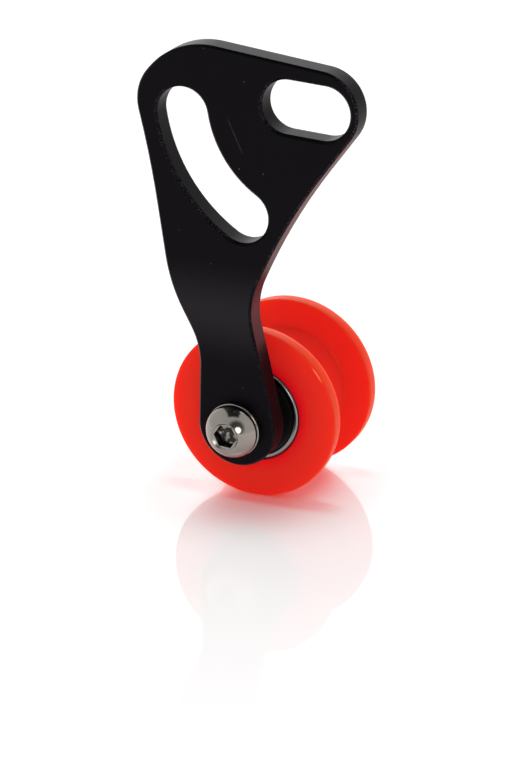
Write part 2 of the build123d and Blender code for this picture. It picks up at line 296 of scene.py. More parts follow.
class NodeTree:
    """The nodes of one material or of the room, added from expressions."""

    def __init__(self, owner):
        owner.use_nodes = True
        self.nodes = owner.node_tree.nodes
        self.links = owner.node_tree.links
        self.nodes.clear()

    def node(self, kind, settings=None, inputs=None):
        """Adds a node, sets its settings, then its sockets, and gives its outputs by name."""
        made = self.nodes.new(kind)
        for name, setting in (settings or {}).items():
            setattr(made, name, setting)
        for name, given in (inputs or {}).items():
            socket = made.inputs[name]
            if isinstance(given, Value):
                self.links.new(given.socket, socket)
            elif socket.type == "RGBA":
                socket.default_value = (*given, 1.0)
            else:
                socket.default_value = given
        return {socket.name: Value(self, socket) for socket in made.outputs if socket.enabled}

    def maths(self, operation, *values):
        return self.node("ShaderNodeMath", {"operation": operation}, dict(enumerate(values)))["Value"]

    def place(self):
        """Where a point of the surface is, in metres."""
        return self.node("ShaderNodeTexCoord")["Object"]

    def facing(self):
        """Which way the surface faces."""
        return self.node("ShaderNodeTexCoord")["Normal"]

    def split(self, vector):
        parts = self.node("ShaderNodeSeparateXYZ", None, {"Vector": vector})
        return parts["X"], parts["Y"], parts["Z"]

    def stretch(self, vector, scale):
        return self.node("ShaderNodeMapping", None, {"Vector": vector, "Scale": scale})["Vector"]

    def smooth(self, value, low, high):
        """Nought below low, one above high, and a smooth rise between."""
        limits = {"Value": value, "From Min": low, "From Max": high}
        return self.node("ShaderNodeMapRange", {"interpolation_type": "SMOOTHSTEP"}, limits)["Result"]

    def below(self, value, low, high):
        """One below low, nought above high, and a smooth fall between."""
        return 1 - self.smooth(value, low, high)

    def band(self, value, start, full, fade, end):
        """Nought before start, one from full to fade, and nought again after end."""
        return self.smooth(value, start, full) * self.below(value, fade, end)

    def noise(self, vector, size, detail=2.0):
        """Cloudy noise from nought to one with patches of this size."""
        inputs = {"Vector": vector, "Scale": 1 / size, "Detail": detail}
        return self.node("ShaderNodeTexNoise", None, inputs)["Fac"]

    def patches(self, vector, size, low, high):
        """Separate patches: nought where plain noise is below low, and one where it is above high."""
        return self.smooth(self.noise(vector, size, 1.0), low, high)

    def lines(self, along, pitch):
        """Uneven lines of about this pitch along a value."""
        inputs = {"W": along / pitch, "Scale": 1.0, "Detail": 2.0}
        return self.node("ShaderNodeTexNoise", {"noise_dimensions": "1D"}, inputs)["Fac"]

    def mix(self, factor, first, second):
        """A colour between two colours."""
        factor_in, first_in, second_in = 0, 6, 7
        inputs = {factor_in: factor, first_in: first, second_in: second}
        return self.node("ShaderNodeMix", {"data_type": "RGBA"}, inputs)["Result"]

    def bump(self, height, depth):
        """A normal for a relief of this depth."""
        return self.node("ShaderNodeBump", None, {"Height": height, "Distance": depth})["Normal"]

    def from_axle(self, place):
        """How far a point is from the axle."""
        x, _, z = self.split(place)
        across = x - AXLE.x
        rise = z - AXLE.z
        return (across * across + rise * rise) ** 0.5

    def surface(self, **sockets):
        """Ends a material in one Principled shader. A socket's name is written with underscores."""
        inputs = {name.replace("_", " "): given for name, given in sockets.items()}
        shader = self.node("ShaderNodeBsdfPrincipled", None, inputs)["BSDF"]
        self.node("ShaderNodeOutputMaterial", None, {"Surface": shader})


def new_finish(name):
    """A new material and the tree that builds it."""
    material = bpy.data.materials.new(name)
    return material, NodeTree(material)


def toned(rgb, tone):
    """A colour made darker, or paler where the tone is above one."""
    return [channel * tone for channel in rgb]


# Finishes


def black_anodising(arm):
    """Blasted black anodising, with cut chamfers, a few specks of dust, one light scratch, a painted
    sheen across the brushed neck, and pale flecks on the chamfers that face right, which also paint a
    highlight there.
    """
    chamfer_tilt = (0.4, 0.55, 0.85, 0.97)
    flat_tilt = 0.95
    right_tilt = (0.2, 0.5)
    neck_reach = (-53 * MM, -42 * MM, -42 * MM, -31 * MM)
    brush_pitch = 1.2 * MM
    brush_stretch = (20.0, 1.0, 0.6)
    cloud_size = 11 * MM
    cloud_tone = 1.4
    fleck_size = 0.2 * MM
    fleck_limits = (0.52, 0.66)
    least_flecks = 0.4
    fleck_reach = (-40 * MM, -28 * MM)
    near_face = -4.9 * MM
    relief = 0.006 * MM

    material, tree = new_finish("black_anodising")
    place = tree.place()
    x, y, z = tree.split(place)
    faces_right, faces_back, _ = tree.split(tree.facing())
    along_axle = abs(faces_back)
    chamfers = tree.band(along_axle, *chamfer_tilt)
    neck = tree.band(z, *neck_reach)

    grain = tree.noise(place, arm.grain_size, 3.0)
    clouds = tree.noise(place, cloud_size)
    brushed = tree.noise(tree.stretch(place, brush_stretch), brush_pitch)
    fleck_share = least_flecks + tree.smooth(z, *fleck_reach) * (1 - least_flecks)
    flecks = tree.patches(place, fleck_size, *fleck_limits)
    # Flecks only on chamfers that face right, fewer towards the bottom: torn anodising and a painted
    # highlight
    torn_and_lit = flecks * tree.smooth(faces_right, *right_tilt) * fleck_share
    specks = dust_specks(tree, x, z) * (along_axle > flat_tilt)
    scratch = light_scratch(tree, place) * (y < near_face)

    face = tree.mix(clouds * 0.5, arm.face_colour, toned(arm.face_colour, cloud_tone))
    # Painted sheen: the neck is paler, streaked by the brushed lines
    painted_sheen = tree.mix(neck * (0.6 + brushed * 0.6), face, arm.painted_sheen_colour)
    cut = tree.mix(torn_and_lit, arm.edge_colour, arm.lit_fleck_colour)
    skin = tree.mix(chamfers, painted_sheen, cut)
    tree.surface(
        Base_Color=tree.mix(specks * 0.8 + scratch, skin, arm.speck_colour),
        Roughness=arm.roughness + grain.swing(0.1) + brushed.swing(0.16) * neck - chamfers * 0.1,
        Specular_IOR_Level=arm.reflection,
        Normal=tree.bump(grain + brushed * neck * 0.5 + chamfers * torn_and_lit * 2, relief),
    )
    return material


def dust_specks(tree, x, z):
    """Round specks of several sizes, strewn over the faces."""
    spacing = 6 * MM
    bare_share = 0.6
    largest = 0.03
    on_face = tree.node("ShaderNodeCombineXYZ", None, {"X": x, "Y": z})["Vector"]
    inputs = {"Vector": on_face, "Scale": 1 / spacing}
    cells = tree.node("ShaderNodeTexVoronoi", {"voronoi_dimensions": "2D"}, inputs)
    chance, size, _ = tree.split(cells["Color"])
    return (chance > bare_share) * (cells["Distance"] < size * largest)


def light_scratch(tree, place):
    """A worn line between two points of the arm, seen along the axle."""
    start = Vector((-15.8 * MM, -2.7 * MM))
    end = Vector((-12.4 * MM, -9.9 * MM))
    line_width = (0.03 * MM, 0.12 * MM)
    wear_size = 0.8 * MM
    x, _, z = tree.split(place)
    reach = (end - start).length
    way = (end - start) / reach
    along = (x - start.x) * way.x + (z - start.y) * way.y
    across = abs((x - start.x) * way.y - (z - start.y) * way.x)
    ends = tree.band(along, 0, 0.3 * reach, 0.9 * reach, reach)
    return tree.noise(place, wear_size) * tree.below(across, *line_width) * ends


def red_plastic(roller, seat, rim, front):
    """Smooth red plastic with faint turning marks and a painted red glow of its own; colour and glow are
    painted oranger on the rims and deeper red by the bearings, with a painted glint on the near rim and
    painted shade in the crease round its bearing seats.
    """
    cloud_size = 7 * MM
    skin_size = 0.7 * MM
    turning_pitch = 0.16 * MM
    crease_reach = (seat + 0.1 * MM, seat + 0.4 * MM)
    hub_reach = (seat + 0.3 * MM, seat + 3.4 * MM)
    rim_reach = (rim - 0.35 * MM, rim - 0.1 * MM)
    face_skin = 0.5 * MM
    relief = 0.008 * MM

    material, tree = new_finish("red_plastic")
    place = tree.place()
    _, y, _ = tree.split(place)
    from_axle = tree.from_axle(place)
    near_face = y < front + face_skin
    # Painted shade in the crease round the bearing seats
    crease = tree.below(from_axle, *crease_reach)
    # Painted glow on the near face by the bearing
    hub_glow = tree.below(from_axle, *hub_reach) * near_face
    # Painted light on the rims: oranger and less red, in colour and glow
    rims = tree.smooth(from_axle, *rim_reach)
    # Painted glint on the near rim
    painted_glint = painted_rim_glint(tree, place, from_axle, rim) * near_face
    clouds = tree.noise(place, cloud_size)
    skin = tree.noise(place, skin_size)
    turned = tree.lines(from_axle + y, turning_pitch)

    red = tree.mix(clouds, roller.colour, roller.deep_colour)
    with_painted_glint = tree.mix(painted_glint, red, roller.painted_glint_colour)
    skin_colour = tree.mix(rims, tree.mix(hub_glow, with_painted_glint, roller.painted_hub_glow_colour), roller.painted_rim_glow_colour)
    painted_glow_colour = tree.mix(rims, tree.mix(hub_glow, roller.colour, roller.painted_hub_glow_colour), roller.painted_rim_glow_colour)
    tree.surface(
        Base_Color=tree.mix(crease, skin_colour, roller.crease_shade_colour),
        Roughness=0.4 + skin.swing(0.12) + turned.swing(0.06),
        Specular_IOR_Level=0.12,
        Specular_Tint=(0.2, 0.85, 0.2),
        Subsurface_Weight=1.0,
        Subsurface_Radius=(1.0, 0.35, 0.12),
        Subsurface_Scale=roller.glow_depth,
        # Painted glow of the plastic, none in the crease round the bearings
        Emission_Color=tree.mix(crease, painted_glow_colour, BLACK),
        Emission_Strength=roller.glow,
        Normal=tree.bump(skin + turned * 0.3, relief),
    )
    return material


def painted_rim_glint(tree, place, from_axle, rim):
    """A painted glint: a short pale line just inside the rim, above the axle and to its right, where the
    rim's edge catches a light.
    """
    inset = 0.45 * MM
    line_width = (0.05 * MM, 0.16 * MM)
    rise_reach = (8.2 * MM, 9.6 * MM, 10.6 * MM, 11.6 * MM)
    x, _, z = tree.split(place)
    line = tree.below(abs(from_axle - rim + inset), *line_width)
    return line * tree.band(z - AXLE.z, *rise_reach) * (x > AXLE.x)


def metal(name, base, roughness, ring_pitch, ring_depth, dull=0.1, painted_shade_within=0.0):
    """Metal turned about the axle: rings, cloudy patches and a few pits, with painted shade within a
    radius.
    """
    cloud_size = 3 * MM
    pit_size = 0.35 * MM
    pit_limits = (0.68, 0.76)
    painted_shade_tone = 0.04

    material, tree = new_finish(name)
    place = tree.place()
    _, y, _ = tree.split(place)
    from_axle = tree.from_axle(place)
    rings = tree.lines(from_axle + y, ring_pitch)
    clouds = tree.noise(place, cloud_size)
    pits = tree.patches(place, pit_size, *pit_limits)
    worn = tree.mix(clouds * 0.7 + pits * 0.5, base, toned(base, 1 - dull))
    tree.surface(
        # Painted shade within the given radius
        Base_Color=tree.mix(from_axle < painted_shade_within, worn, toned(base, painted_shade_tone)),
        Metallic=1.0,
        Roughness=roughness + rings.swing(0.08) + clouds.swing(0.06) + pits * 0.1,
        Normal=tree.bump(rings - pits * 0.5, ring_depth),
    )
    return material


def polished_steel(bolt, top):
    """Polished steel with fine rings and specks, dull where the socket was cut, with painted shade inside
    the socket and pale torn patches at its bottom that also paint highlights.
    """
    ring_pitch = 0.12 * MM
    cloud_size = 2.5 * MM
    satin_size = 0.16 * MM
    pit_size = 0.3 * MM
    pit_limits = (0.66, 0.74)
    torn_and_lit_size = 0.8 * MM
    torn_and_lit_limits = (0.5, 0.58)
    socket_reach = 0.66 * bolt.socket_across_flats
    socket_mouth = top + 0.06 * MM
    socket_bottom = top + bolt.socket_depth
    drilled_bottom = socket_bottom + 2 * MM
    torn_and_lit_from = socket_bottom - 0.1 * MM
    deepest_shade_tone, painted_shade_tone, worn_tone = 0.03, 0.22, 0.8
    relief = 0.0012 * MM

    material, tree = new_finish("polished_steel")
    place = tree.place()
    _, y, _ = tree.split(place)
    from_axle = tree.from_axle(place)
    rings = tree.lines(from_axle + y, ring_pitch)
    clouds = tree.noise(place, cloud_size)
    satin = tree.noise(place, satin_size)
    pits = tree.patches(place, pit_size, *pit_limits)
    formed = (from_axle < socket_reach) * (y > socket_mouth) * (y < drilled_bottom)
    # Painted shade: the socket's walls and bottom are dark
    socket = formed * (y > top + bolt.socket_countersink)
    # Pale patches at the socket's bottom: torn metal and painted highlights in that shade
    torn_and_lit = tree.patches(place, torn_and_lit_size, *torn_and_lit_limits) * socket * (y > torn_and_lit_from)

    steel = bolt.steel_colour
    # Painted shade of the socket, from two darker tones of the steel
    dark = tree.mix(satin, toned(steel, deepest_shade_tone), toned(steel, painted_shade_tone))
    bright = tree.mix(clouds * 0.6 + pits * 0.5, steel, toned(steel, worn_tone))
    tree.surface(
        Base_Color=tree.mix(socket - torn_and_lit, bright, dark),
        Metallic=1.0,
        Roughness=0.13 + satin.swing(0.08) + rings.swing(0.04) + pits * 0.1 + formed * 0.15,
        Normal=tree.bump(rings + satin * 0.5 - pits * 0.8, relief),
    )
    return material


def rubber(bearings):
    """Moulded rubber, a little shiny, with fine moulding rings."""
    skin_size = 0.25 * MM
    ring_pitch = 0.3 * MM
    pale_tone = 2.2
    relief = 0.008 * MM

    material, tree = new_finish("seal_rubber")
    place = tree.place()
    skin = tree.noise(place, skin_size)
    rings = tree.lines(tree.from_axle(place), ring_pitch)
    tree.surface(
        Base_Color=tree.mix(skin, bearings.rubber_colour, toned(bearings.rubber_colour, pale_tone)),
        Roughness=0.36 + skin.swing(0.2),
        Specular_IOR_Level=0.2,
        Normal=tree.bump(skin + rings * 0.6, relief),
    )
    return material


def nylon(name, base):
    """Pale moulded nylon that light wanders into."""
    cloud_size = 1.5 * MM
    cloud_tone = 0.85
    skin_size = 0.2 * MM
    glow_depth = 0.8 * MM
    relief = 0.006 * MM

    material, tree = new_finish(name)
    place = tree.place()
    clouds = tree.noise(place, cloud_size)
    skin = tree.noise(place, skin_size)
    tree.surface(
        Base_Color=tree.mix(clouds * 0.6, base, toned(base, cloud_tone)),
        Roughness=0.45 + skin.swing(0.2),
        Subsurface_Weight=0.3,
        Subsurface_Scale=glow_depth,
        Normal=tree.bump(skin, relief),
    )
    return material


def white_floor(stage, front, back):
    """White gloss: a clear mirror close to the roller, which fades further away into a glow."""
    near_metal = 0.45
    metal_reach = (2 * MM, 22 * MM)
    near_gloss, far_gloss = 0.9, 0.03
    gloss_reach = (20 * MM, 120 * MM)

    material, tree = new_finish("white_floor")
    x, y, _ = tree.split(tree.place())
    across = x - AXLE.x
    beyond = tree.maths("MAXIMUM", abs(y - (front + back) / 2) - (back - front) / 2, 0)
    away = (across * across + beyond * beyond) ** 0.5
    glow = tree.smooth(away, stage.glow_start, stage.glow_full)
    tree.surface(
        Base_Color=stage.floor_colour,
        Metallic=tree.below(away, *metal_reach) * near_metal,
        Roughness=0.4,
        Specular_IOR_Level=0.0,
        Emission_Color=tree.mix(glow, BLACK, stage.floor_colour),
        Emission_Strength=stage.floor_glow,
        Coat_Weight=near_gloss - tree.smooth(away, *gloss_reach) * (near_gloss - far_gloss),
        Coat_Roughness=0.012,
    )
    return material


# Modelling by hand: wires, turning, easing


def leave_selection():
    bpy.ops.object.select_all(action="DESELECT")


def pick(active, *others):
    """Selects only these objects, with the first one active."""
    leave_selection()
    for each in (active, *others):
        each.select_set(True)
    bpy.context.view_layer.objects.active = active


def select_vertices(piece, test):
    """Selects in edit mode the vertices whose place passes the test."""
    mesh = bmesh.from_edit_mesh(piece.data)
    for vertex in mesh.verts:
        vertex.select = test(vertex.co)
    mesh.select_flush_mode()
    bmesh.update_edit_mesh(piece.data)


def draw_wire(name, points):
    """A wire in edit mode through (radius, place along the axle) points, extruded from one vertex."""
    leave_selection()
    bpy.ops.mesh.primitive_plane_add(size=MM)
    piece = bpy.context.object
    piece.name = name
    bpy.ops.object.mode_set(mode="EDIT")
    bpy.ops.mesh.select_all(action="SELECT")
    bpy.ops.mesh.merge(type="CENTER")
    bpy.ops.transform.translate(value=(*points[0], 0))
    for before, after in zip(points, points[1:]):
        step = (after[0] - before[0], after[1] - before[1], 0)
        bpy.ops.mesh.extrude_region_move(TRANSFORM_OT_translate={"value": step})
    return piece


def join_points():
    """Joins points that lie together, in edit mode."""
    bpy.ops.mesh.select_all(action="SELECT")
    bpy.ops.mesh.remove_doubles(threshold=WELD)


def weld():
    """Joins points that lie together and turns the faces outwards, in edit mode."""
    join_points()
    bpy.ops.mesh.normals_make_consistent(inside=False)


def round_corner(piece, before, corner, after, radius, steps):
    """Rounds one corner of a wire in edit mode."""
    before, corner, after = Vector(before), Vector(corner), Vector(after)
    bend = (corner - before).angle(after - corner)
    select_vertices(piece, lambda place: (place.xy - corner).length < WELD)
    bpy.ops.mesh.bevel(
        affect="VERTICES",
        offset=radius * tan(bend / 2),
        segments=steps,
        profile=0.5,
        clamp_overlap=False,
    )


def turn_about_axle(piece, steps):
    """Spins the wire in edit mode into a closed turned piece, and moves it to the axle."""
    bpy.ops.mesh.select_all(action="SELECT")
    bpy.ops.mesh.spin(steps=steps, angle=2 * pi, center=(0, 0, 0), axis=(0, 1, 0), use_auto_merge=True)
    weld()
    bpy.ops.object.mode_set(mode="OBJECT")
    move_to_axle(piece)


def move_to_axle(piece):
    """Moves the active piece, modelled about the Y axis, on to the axle and applies its place."""
    piece.location = (AXLE.x, 0, AXLE.z)
    bpy.ops.object.transform_apply(location=True, rotation=True, scale=True)


def apply_modifier(piece, kind, **settings):
    """Adds a modifier with these settings to the active piece and applies it."""
    bpy.ops.object.modifier_add(type=kind)
    modifier = piece.modifiers[-1]
    for name, setting in settings.items():
        setattr(modifier, name, setting)
    bpy.ops.object.modifier_apply(modifier=modifier.name)


def ease_edges(piece, width):
    """Rounds the sharp edges of the active piece by a narrow bevel and smooths what is left."""
    apply_modifier(piece, "BEVEL", width=width, segments=2, limit_method="ANGLE", angle_limit=EASED_EDGES)
    bpy.ops.object.shade_smooth_by_angle(angle=SHARP_WHEN_EASED)
    apply_modifier(piece, "WEIGHTED_NORMAL", keep_sharp=True)


def eased_copy(node, width):
    """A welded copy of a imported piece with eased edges, which stands for it."""
    piece = bpy.data.objects.new(node + "_eased", frame["nodes"][node].data.copy())
    bpy.context.scene.collection.objects.link(piece)
    pick(piece)
    bpy.ops.mesh.customdata_custom_splitnormals_clear()
    bpy.ops.object.mode_set(mode="EDIT")
    join_points()
    bpy.ops.mesh.dissolve_limited(angle_limit=LEVEL_FACES)
    bpy.ops.object.mode_set(mode="OBJECT")
    ease_edges(piece, width)
    return piece


def dress(piece, material):
    """Gives a piece one material."""
    piece.data.materials.clear()
    piece.data.materials.append(material)


def stand_for(piece, node, material):
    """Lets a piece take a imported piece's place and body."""
    dress(piece, material)
    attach(piece, frame["nodes"][node]["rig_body"])
    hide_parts(node)


# Operators


class TENSIONER_OT_arm(bpy.types.Operator):
    """Eases the arm's edges and anodises it"""

    bl_idname = "tensioner.arm"
    bl_label = "Finish Arm"

    def execute(self, context):
        arm = context.scene.tensioner_arm
        stand_for(eased_copy("mounting_plate", arm.edge_round), "mounting_plate", black_anodising(arm))
        return {"FINISHED"}


class TENSIONER_OT_roller(bpy.types.Operator):
    """Turns the flanged roller with its rounded rims"""

    bl_idname = "tensioner.roller"
    bl_label = "Turn Roller"

    def execute(self, context):
        roller = context.scene.tensioner_roller
        low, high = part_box("chain_roller")
        race_low, race_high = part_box("front_outer_race")
        rim = (high.x - low.x) / 2
        seat = (race_high.x - race_low.x) / 2 + roller.seat_clearance
        floor = roller.groove_floor_radius
        root = roller.flange_width + (rim - floor) * tan(roller.flange_draft)
        front_stop = race_high.y
        rear_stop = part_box("rear_outer_race")[0].y
        corners = [
            (roller.web_bore_radius, front_stop, 0),
            (seat, front_stop, 0),
            (seat, low.y, roller.mouth_round),
            (rim, low.y, roller.rim_round),
            (rim, low.y + roller.flange_width, roller.rim_round),
            (floor, low.y + root, roller.root_round),
            (floor, high.y - root, roller.root_round),
            (rim, high.y - roller.flange_width, roller.rim_round),
            (rim, high.y, roller.rim_round),
            (seat, high.y, roller.mouth_round),
            (seat, rear_stop, 0),
            (roller.web_bore_radius, rear_stop, 0),
        ]
        points = [corner[:2] for corner in corners]
        piece = draw_wire("red_roller", [*points, points[0]])
        join_points()
        neighbours = zip([points[-1], *points], points, [*points[1:], points[0]], corners)
        for before, corner, after, (_, _, radius) in neighbours:
            if radius:
                round_corner(piece, before, corner, after, radius, roller.round_steps)
        turn_about_axle(piece, roller.turn_steps)
        bpy.ops.object.shade_smooth_by_angle(angle=SHARP_WHEN_TURNED)
        stand_for(piece, "chain_roller", red_plastic(roller, seat, rim, low.y))
        return {"FINISHED"}


class TENSIONER_OT_bolt(bpy.types.Operator):
    """Turns the axle bolt, cuts its socket and its thread"""

    bl_idname = "tensioner.bolt"
    bl_label = "Make Axle Bolt"

    def execute(self, context):
        bolt = context.scene.tensioner_bolt
        low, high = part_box("axle_bolt")
        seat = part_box("head_washer")[0].y
        core = bolt.diameter / 2 - bolt.thread_depth
        thread_start = high.y - bolt.thread_pitch * bolt.thread_turns
        piece = draw_wire("axle_bolt_turned", self.outline(bolt, low, high, seat, core, thread_start))
        turn_about_axle(piece, bolt.turn_steps)
        self.cut_socket(bolt, piece, low.y)
        ease_edges(piece, bolt.edge_round)
        thread = self.thread(bolt, core, thread_start, high.y - bolt.end_chamfer)
        pick(piece, thread)
        bpy.ops.object.join()
        stand_for(piece, "axle_bolt", polished_steel(bolt, low.y))
        return {"FINISHED"}

    def outline(self, bolt, low, high, seat, core, thread_start):
        """Half the bolt's section: flat top, dome, land, shank and bare core."""
        radius = bolt.diameter / 2
        head = (high.x - low.x) / 2
        dome_edge = seat - bolt.head_land
        dome_centre = dome_edge + sqrt(bolt.dome_radius**2 - head**2)
        flat = sqrt(bolt.dome_radius**2 - (dome_centre - low.y) ** 2)
        first = asin(flat / bolt.dome_radius)
        last = asin(head / bolt.dome_radius)
        sweep = [first + (last - first) * step / bolt.dome_steps for step in range(bolt.dome_steps + 1)]
        dome = [(bolt.dome_radius * sin(a), dome_centre - bolt.dome_radius * cos(a)) for a in sweep]
        return [
            (0, low.y),
            *dome,
            (head, seat),
            (radius, seat),
            (radius, thread_start),
            (core, thread_start + bolt.thread_depth),
            (core, high.y - bolt.end_chamfer),
            (core - bolt.end_chamfer, high.y),
            (0, high.y),
        ]

    def cut_socket(self, bolt, piece, top):
        """Drills and countersinks the head, then cuts the hexagon."""
        overshoot = 1 * MM
        flat_up = radians(30)
        corner = bolt.socket_across_flats / sqrt(3)
        drill = bolt.socket_across_flats / 2
        above = top - overshoot
        mouth = top + bolt.socket_countersink
        bottom = top + bolt.socket_depth
        drill_outline = [
            (0, above),
            (corner + mouth - above, above),
            (corner, mouth),
            (drill, mouth),
            (drill, bottom),
            (0, bottom + drill / tan(bolt.socket_point / 2)),
        ]
        drilled = draw_wire("drill", drill_outline)
        turn_about_axle(drilled, bolt.turn_steps)
        leave_selection()
        bpy.ops.mesh.primitive_cylinder_add(
            vertices=6,
            radius=corner,
            depth=bottom - above,
            location=(AXLE.x, (above + bottom) / 2, AXLE.z),
            rotation=(pi / 2, -flat_up - bolt.socket_turn, 0),
        )
        hexagon = bpy.context.object
        for cutter in (drilled, hexagon):
            pick(piece)
            apply_modifier(piece, "BOOLEAN", operation="DIFFERENCE", object=cutter, solver="EXACT")
            bpy.data.objects.remove(cutter)

    def thread(self, bolt, core, start, end):
        """A helical ridge round the core, sunk a little into it."""
        pitch = bolt.thread_pitch
        half_crest = pitch / 8
        half_root = pitch * 0.46
        sink = 0.02 * MM
        base = core - sink
        tip = bolt.diameter / 2
        section = [
            (base, start - half_root),
            (tip, start - half_crest),
            (tip, start + half_crest),
            (base, start + half_root),
        ]
        ridge = draw_wire("thread_ridge", [*section, section[0]])
        join_points()
        bpy.ops.object.mode_set(mode="OBJECT")
        apply_modifier(
            ridge,
            "SCREW",
            axis="Y",
            angle=2 * pi,
            screw_offset=pitch,
            iterations=int((end - start) / pitch),
            steps=bolt.thread_steps,
            render_steps=bolt.thread_steps,
            use_merge_vertices=True,
        )
        bpy.ops.object.mode_set(mode="EDIT")
        bpy.ops.mesh.select_all(action="SELECT")
        bpy.ops.mesh.fill_holes(sides=0)
        weld()
        bpy.ops.object.mode_set(mode="OBJECT")
        bpy.ops.object.shade_smooth_by_angle(angle=SHARP_WHEN_TURNED)
        move_to_axle(ridge)
        return ridge


class TENSIONER_OT_bearings(bpy.types.Operator):
    """Finishes the two ball bearings"""

    bl_idname = "tensioner.bearings"
    bl_label = "Finish Bearings"

    def execute(self, context):
        bearings = context.scene.tensioner_bearings
        low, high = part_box("front_outer_race")
        # Inside the bright ring the race's face gets painted shade
        bright_from = (high.x - low.x) / 2 - bearings.face_width
        ground = {"roughness": 0.2, "ring_pitch": 0.1 * MM, "ring_depth": 0.002 * MM}
        steel = metal("bearing_steel", bearings.steel_colour, **ground)
        race_steel = metal("race_steel", bearings.steel_colour, **ground, painted_shade_within=bright_from)
        black = rubber(bearings)
        cage = nylon("cage_nylon", bearings.cage_colour)
        for side in ("front", "rear"):
            race = f"{side}_outer_race"
            stand_for(eased_copy(race, bearings.edge_round), race, race_steel)
            for hidden in ("inner_race", "balls"):
                dress(frame["nodes"][f"{side}_{hidden}"], steel)
            dress(frame["nodes"][f"{side}_cage"], cage)
            for place in ("near", "far"):
                seal = f"{side}_{place}_seal"
                stand_for(eased_copy(seal, bearings.edge_round), seal, black)
        return {"FINISHED"}


class TENSIONER_OT_fasteners(bpy.types.Operator):
    """Finishes the washers, the spacers, the nut and its locking ring"""

    bl_idname = "tensioner.fasteners"
    bl_label = "Finish Fasteners"

    def execute(self, context):
        fasteners = context.scene.tensioner_fasteners
        polish = {"roughness": 0.14, "ring_pitch": 0.09 * MM, "ring_depth": 0.0015 * MM}
        plating = {"roughness": 0.27, "ring_pitch": 0.2 * MM, "ring_depth": 0.002 * MM, "dull": 0.25}
        turning = {"roughness": 0.3, "ring_pitch": 0.14 * MM, "ring_depth": 0.003 * MM}
        bright = metal("washer_steel", context.scene.tensioner_bolt.steel_colour, **polish)
        zinc = metal("bright_zinc", fasteners.zinc_colour, **plating)
        bare = metal("turned_aluminium", fasteners.aluminium_colour, **turning)
        ring = nylon("ring_nylon", fasteners.nylon_colour)
        eased = {"head_washer": bright, "rear_washer": zinc, "lock_nut": zinc, "front_spacer": bare}
        for node, material in eased.items():
            stand_for(eased_copy(node, fasteners.edge_round), node, material)
        dress(frame["nodes"]["centre_spacer"], bare)
        dress(frame["nodes"]["nut_insert"], ring)
        return {"FINISHED"}


# Stage: its lamps, and the operator that sets it


class Softbox(NamedTuple):
    """An oval lamp, and where it hangs as seen from what it lights: metres and degrees."""

    width: float
    height: float
    azimuth: float
    elevation: float
    distance: float


KEY_SOFTBOX = Softbox(width=0.4, height=0.4, azimuth=36, elevation=14.5, distance=0.95)
BACK_SOFTBOX = Softbox(width=1.0, height=1.0, azimuth=180, elevation=62, distance=1.0)
FLOOR_LAMP = Softbox(width=0.4, height=0.06, azimuth=180, elevation=84, distance=1.0)
BOUNCE_LAMP = Softbox(width=0.04, height=0.04, azimuth=150, elevation=-16, distance=0.06)


def direction(azimuth, elevation):
    """A unit vector from an azimuth, nought straight ahead of the arm, and an elevation, in degrees."""
    a, e = radians(azimuth), radians(elevation)
    return Vector((sin(a) * cos(e), -cos(a) * cos(e), sin(e)))


